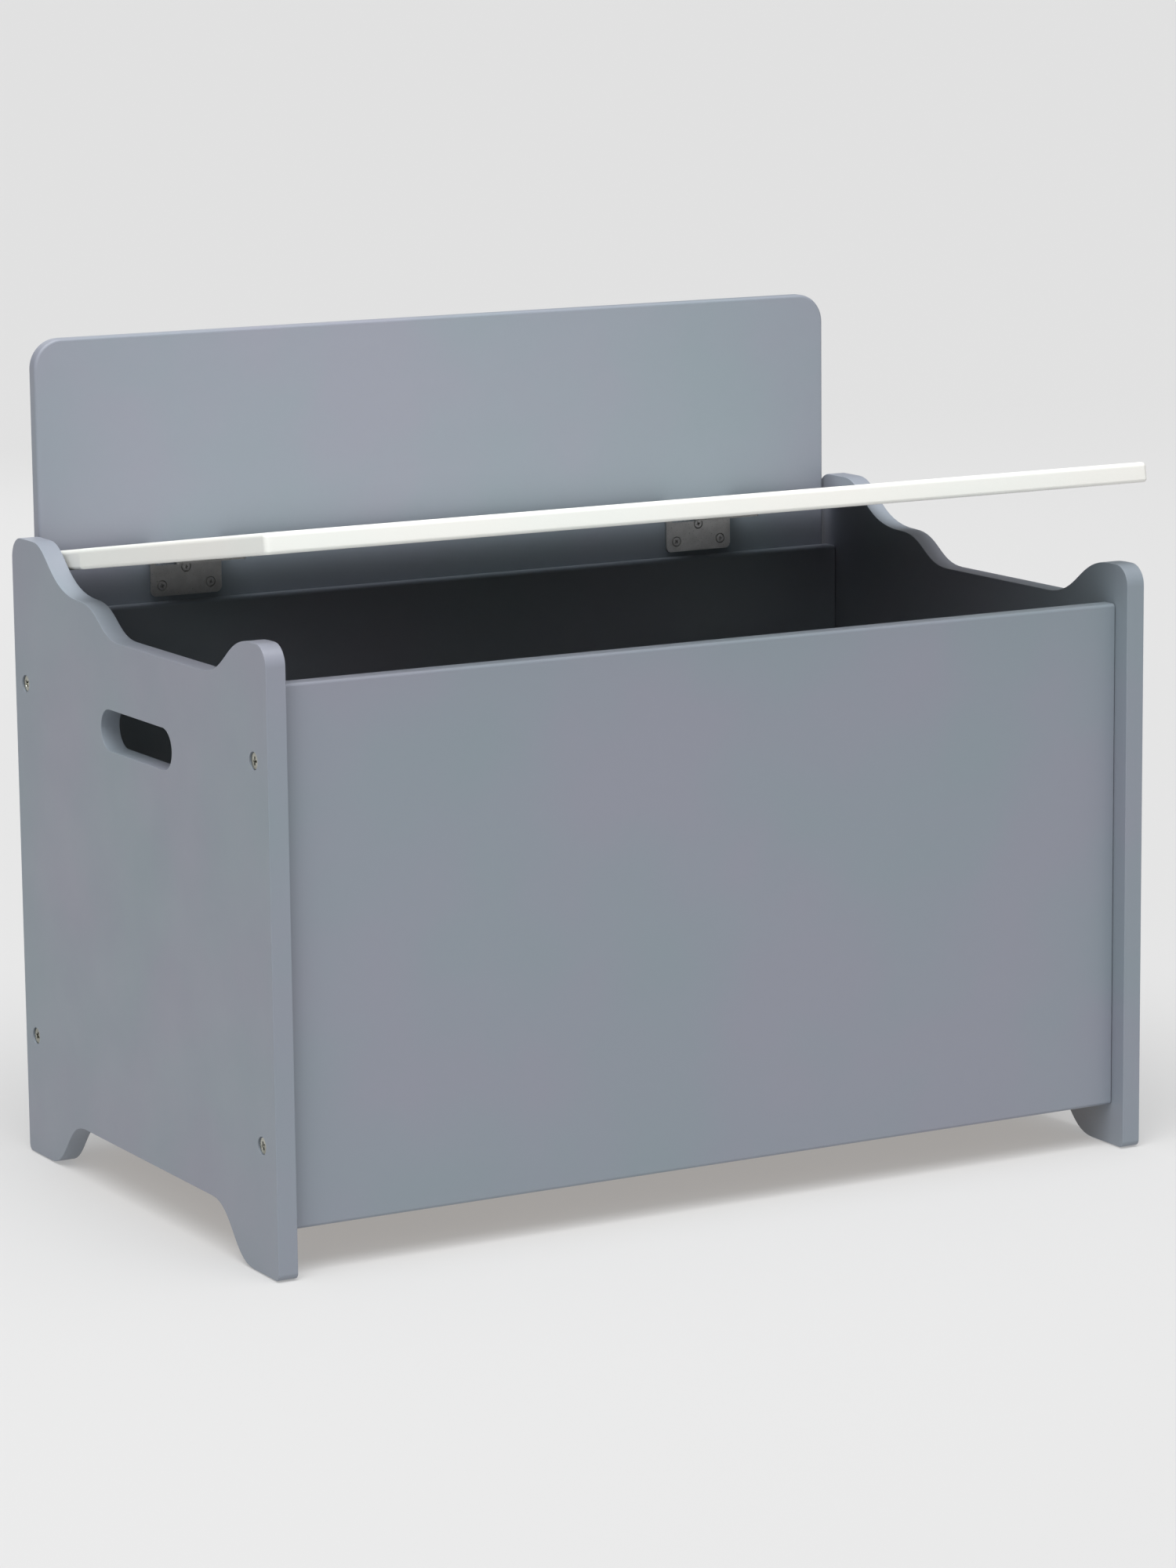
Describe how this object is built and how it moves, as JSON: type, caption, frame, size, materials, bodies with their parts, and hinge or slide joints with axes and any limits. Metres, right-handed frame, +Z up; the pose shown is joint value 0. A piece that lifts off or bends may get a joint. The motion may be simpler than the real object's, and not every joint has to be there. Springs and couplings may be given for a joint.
{
  "type": "toy box",
  "caption": "Wooden toy storage box with panel sides, cut-out hand slots, scooped shoulders, arched feet, an upright backrest and a full-width hinged lid held ajar.",
  "frame": {"origin": "centre of the floor area under the box, on the floor, with the lid ajar at rest", "axes": "+X to the right along the front, +Y from the front to the backrest, +Z up"},
  "size_m": [0.61, 0.3699, 0.521],
  "materials": {
    "grey_paint": "satin grey-blue paint",
    "white_paint": "satin white paint",
    "bare_wood": "planed, unpainted",
    "fibreboard": "raw fibreboard",
    "screw_steel": "zinc-plated",
    "hinge_steel": "nickel-plated",
    "nylon": "matte"
  },
  "bodies": {
    "box": {"back_batten": "bare_wood", "back_batten_left_screw": "screw_steel", "back_batten_right_screw": "screw_steel", "back_panel": "grey_paint", "backrest": "grey_paint", "backrest_left_lower_screw": "screw_steel", "backrest_left_upper_screw": "screw_steel", "backrest_middle_lower_screw": "screw_steel", "backrest_middle_upper_screw": "screw_steel", "backrest_right_lower_screw": "screw_steel", "backrest_right_upper_screw": "screw_steel", "floor_panel": "fibreboard", "front_batten": "bare_wood", "front_batten_left_screw": "screw_steel", "front_batten_right_screw": "screw_steel", "front_panel": "grey_paint", "left_back_dowel": "bare_wood", "left_back_foot_glide": "nylon", "left_back_lower_screw": "screw_steel", "left_back_upper_screw": "screw_steel", "left_batten": "bare_wood", "left_batten_back_screw": "screw_steel", "left_batten_front_screw": "screw_steel", "left_front_dowel": "bare_wood", "left_front_foot_glide": "nylon", "left_front_lower_screw": "screw_steel", "left_front_upper_screw": "screw_steel", "left_hinge_back_leaf": "hinge_steel", "left_hinge_back_screw_1": "hinge_steel", "left_hinge_back_screw_2": "hinge_steel", "left_hinge_back_screw_3": "hinge_steel", "left_hinge_pin": "hinge_steel", "left_side_panel": "grey_paint", "right_back_dowel": "bare_wood", "right_back_foot_glide": "nylon", "right_back_lower_screw": "screw_steel", "right_back_upper_screw": "screw_steel", "right_batten": "bare_wood", "right_batten_back_screw": "screw_steel", "right_batten_front_screw": "screw_steel", "right_front_dowel": "bare_wood", "right_front_foot_glide": "nylon", "right_front_lower_screw": "screw_steel", "right_front_upper_screw": "screw_steel", "right_hinge_back_leaf": "hinge_steel", "right_hinge_back_screw_1": "hinge_steel", "right_hinge_back_screw_2": "hinge_steel", "right_hinge_back_screw_3": "hinge_steel", "right_hinge_pin": "hinge_steel", "right_side_panel": "grey_paint"},
    "lid": {"left_hinge_lid_leaf": "hinge_steel", "left_hinge_lid_screw_1": "hinge_steel", "left_hinge_lid_screw_2": "hinge_steel", "left_hinge_lid_screw_3": "hinge_steel", "lid": "white_paint", "right_hinge_lid_leaf": "hinge_steel", "right_hinge_lid_screw_1": "hinge_steel", "right_hinge_lid_screw_2": "hinge_steel", "right_hinge_lid_screw_3": "hinge_steel"}
  },
  "joints": [
    {"name": "lid_hinge", "type": "hinge", "parent": "box", "child": "lid", "pos_m": [0, 0.1712, 0.384], "axis": [-1, 0, 0], "range_deg": [-8.4, 80]}
  ]
}
